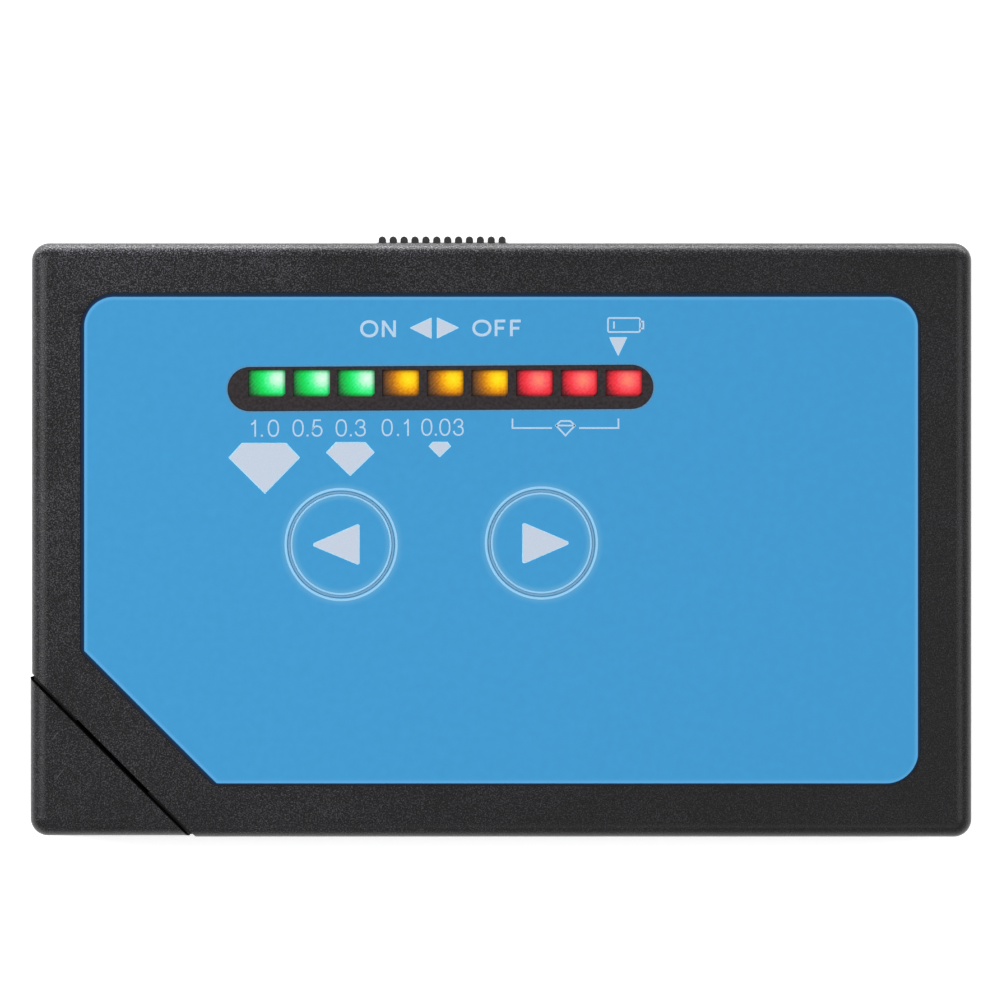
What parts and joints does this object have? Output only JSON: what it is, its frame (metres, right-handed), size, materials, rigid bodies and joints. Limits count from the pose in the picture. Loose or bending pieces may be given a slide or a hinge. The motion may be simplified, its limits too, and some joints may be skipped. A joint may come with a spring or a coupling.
{
  "type": "diamond tester",
  "caption": "Flat pocket diamond tester with a row of signal lights, two setting keys, a slide switch, a capped corner probe and a battery bay.",
  "frame": {"origin": "centre of the flat back face, which the tester rests on", "axes": "+X runs to the right across the width, +Y up the height towards the slide switch, +Z out of the front face"},
  "size_m": [0.1071, 0.0684, 0.017],
  "materials": {
    "case_black": "grained black moulding",
    "knob_black": "smooth black moulding",
    "overlay_blue": "printed blue film, fine matt texture",
    "window_smoke": "smoked window",
    "holder_black": "matt black",
    "holder_white": "off-white moulding",
    "led_green": "lit green lens",
    "led_amber": "lit amber lens",
    "led_red": "lit red lens",
    "board_green": "green solder mask",
    "chip_black": "moulded component",
    "can_aluminium": "drawn can",
    "plated_steel": "zinc plated",
    "spring_steel": "nickel plated",
    "probe_metal": "turned and plated",
    "probe_copper": "bare copper alloy",
    "cell_wrap": "plain sleeve",
    "lead_red": "insulated lead"
  },
  "bodies": {
    "case": {"front_housing": "case_black", "rear_housing": "case_black", "face_overlay": "overlay_blue", "window_strip": "window_smoke", "led_holder": "holder_black", "green_leds": "led_green", "amber_leds": "led_amber", "red_leds": "led_red", "circuit_board": "board_green", "board_screws": "plated_steel", "microcontroller": "chip_black", "amplifier_chip": "chip_black", "chip_resistors": "chip_black", "crystal": "plated_steel", "filter_capacitors": "can_aluminium", "buzzer": "chip_black", "left_switch_body": "chip_black", "right_switch_body": "chip_black", "power_switch_body": "plated_steel", "probe_holder": "holder_black", "probe_sleeve": "probe_metal", "probe_spring": "spring_steel", "probe_ribbon": "lead_red", "probe_connector": "holder_white", "battery_cell_upper": "cell_wrap", "battery_cell_lower": "cell_wrap", "positive_terminal": "spring_steel", "negative_terminal": "spring_steel", "bridge_contact": "spring_steel", "contact_springs": "spring_steel", "battery_leads": "lead_red", "case_screws": "plated_steel"},
    "power_knob": {"power_switch_knob": "knob_black", "power_switch_lever": "holder_white"},
    "left_key": {"left_button": "overlay_blue", "left_switch_plunger": "holder_white"},
    "right_key": {"right_button": "overlay_blue", "right_switch_plunger": "holder_white"},
    "probe_pin": {"probe_tip": "probe_copper", "probe_heater": "probe_metal"},
    "cap": {"probe_cap": "case_black"},
    "door": {"battery_door": "case_black"}
  },
  "joints": [
    {"name": "power_switch_slide", "type": "slide", "parent": "case", "child": "power_knob", "axis": [1, 0, 0], "range_m": [-0.002, 0]},
    {"name": "left_key_press", "type": "slide", "parent": "case", "child": "left_key", "axis": [0, 0, -1], "range_m": [0, 0.0004], "stiffness_N_per_m": 1500, "springref_m": -0.0004},
    {"name": "right_key_press", "type": "slide", "parent": "case", "child": "right_key", "axis": [0, 0, -1], "range_m": [0, 0.0004], "stiffness_N_per_m": 1500, "springref_m": -0.0004},
    {"name": "probe_tip_press", "type": "slide", "parent": "case", "child": "probe_pin", "axis": [0.7071, 0.7071, 0], "range_m": [0, 0.0012], "stiffness_N_per_m": 500, "springref_m": -0.0005, "deforming": ["probe_spring"]},
    {"name": "cap_pull", "type": "slide", "parent": "case", "child": "cap", "axis": [-0.7071, -0.7071, 0], "range_m": [0, 0.013]},
    {"name": "battery_door_slide", "type": "slide", "parent": "case", "child": "door", "axis": [1, 0, 0], "range_m": [0, 0.056]}
  ]
}
